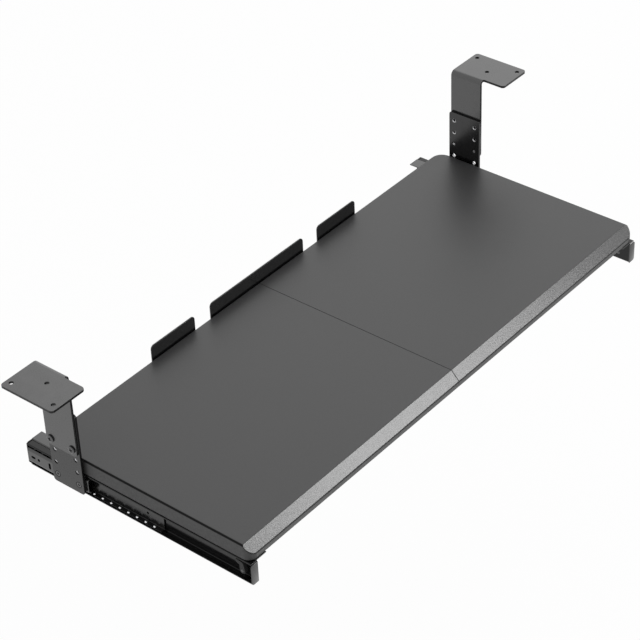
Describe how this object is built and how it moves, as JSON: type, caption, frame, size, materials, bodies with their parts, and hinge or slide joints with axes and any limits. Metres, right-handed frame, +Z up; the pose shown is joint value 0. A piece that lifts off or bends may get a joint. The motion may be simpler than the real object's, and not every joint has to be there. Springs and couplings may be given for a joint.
{
  "type": "under-desk keyboard tray",
  "caption": "Dark keyboard tray in two joined halves that hangs under a desk on height-adjustable steel brackets and pulls out on ball-bearing slides, with stops along its back.",
  "frame": {"origin": "middle of the desk screw pattern, on the plane of the desk's underside, where the flange tops rest", "axes": "+X along the tray towards the user's right, -Y towards the user, which is the way the tray pulls out, +Z up into the desk"},
  "size_m": [0.8014, 0.31, 0.1612],
  "materials": {
    "bracket_steel": "satin black powder coat",
    "slide_steel": "semi-gloss black finish",
    "board_laminate": "matte dark grey laminate over board",
    "front_band": "fine-ribbed dark grey band",
    "screw_steel": "black oxide",
    "ball_steel": "polished",
    "bumper_rubber": "matte grey rubber"
  },
  "bodies": {
    "brackets": {"left_hanger": "bracket_steel", "left_drop_plate": "bracket_steel", "left_height_screws": "screw_steel", "left_fixed_rail": "slide_steel", "left_plate_screws": "screw_steel", "right_hanger": "bracket_steel", "right_drop_plate": "bracket_steel", "right_height_screws": "screw_steel", "right_fixed_rail": "slide_steel", "right_plate_screws": "screw_steel"},
    "left_cage": {"left_ball_cage": "slide_steel", "left_balls": "ball_steel"},
    "right_cage": {"right_ball_cage": "slide_steel", "right_balls": "ball_steel"},
    "tray": {"left_moving_rail": "slide_steel", "left_rail_screws": "screw_steel", "left_bumper": "bumper_rubber", "left_bumper_rivet": "screw_steel", "left_board": "board_laminate", "left_front_band": "front_band", "right_moving_rail": "slide_steel", "right_rail_screws": "screw_steel", "right_bumper": "bumper_rubber", "right_bumper_rivet": "screw_steel", "right_board": "board_laminate", "right_front_band": "front_band", "rear_joining_plate": "bracket_steel", "front_joining_plate": "bracket_steel", "left_rear_stop": "bracket_steel", "middle_rear_stop": "bracket_steel", "right_rear_stop": "bracket_steel", "joining_screws": "screw_steel", "stop_screws": "screw_steel"}
  },
  "joints": [
    {"name": "tray_slide", "type": "slide", "parent": "brackets", "child": "tray", "axis": [0, 1, 0], "range_m": [0, 0.195]},
    {"name": "left_cage_slide", "type": "slide", "parent": "brackets", "child": "left_cage", "axis": [0, 1, 0], "range_m": [0, 0.0975]},
    {"name": "right_cage_slide", "type": "slide", "parent": "brackets", "child": "right_cage", "axis": [0, 1, 0], "range_m": [0, 0.0975]}
  ],
  "couplings": [
    {"joint": "left_cage_slide", "follows": "tray_slide", "ratio": 0.5},
    {"joint": "right_cage_slide", "follows": "tray_slide", "ratio": 0.5}
  ]
}
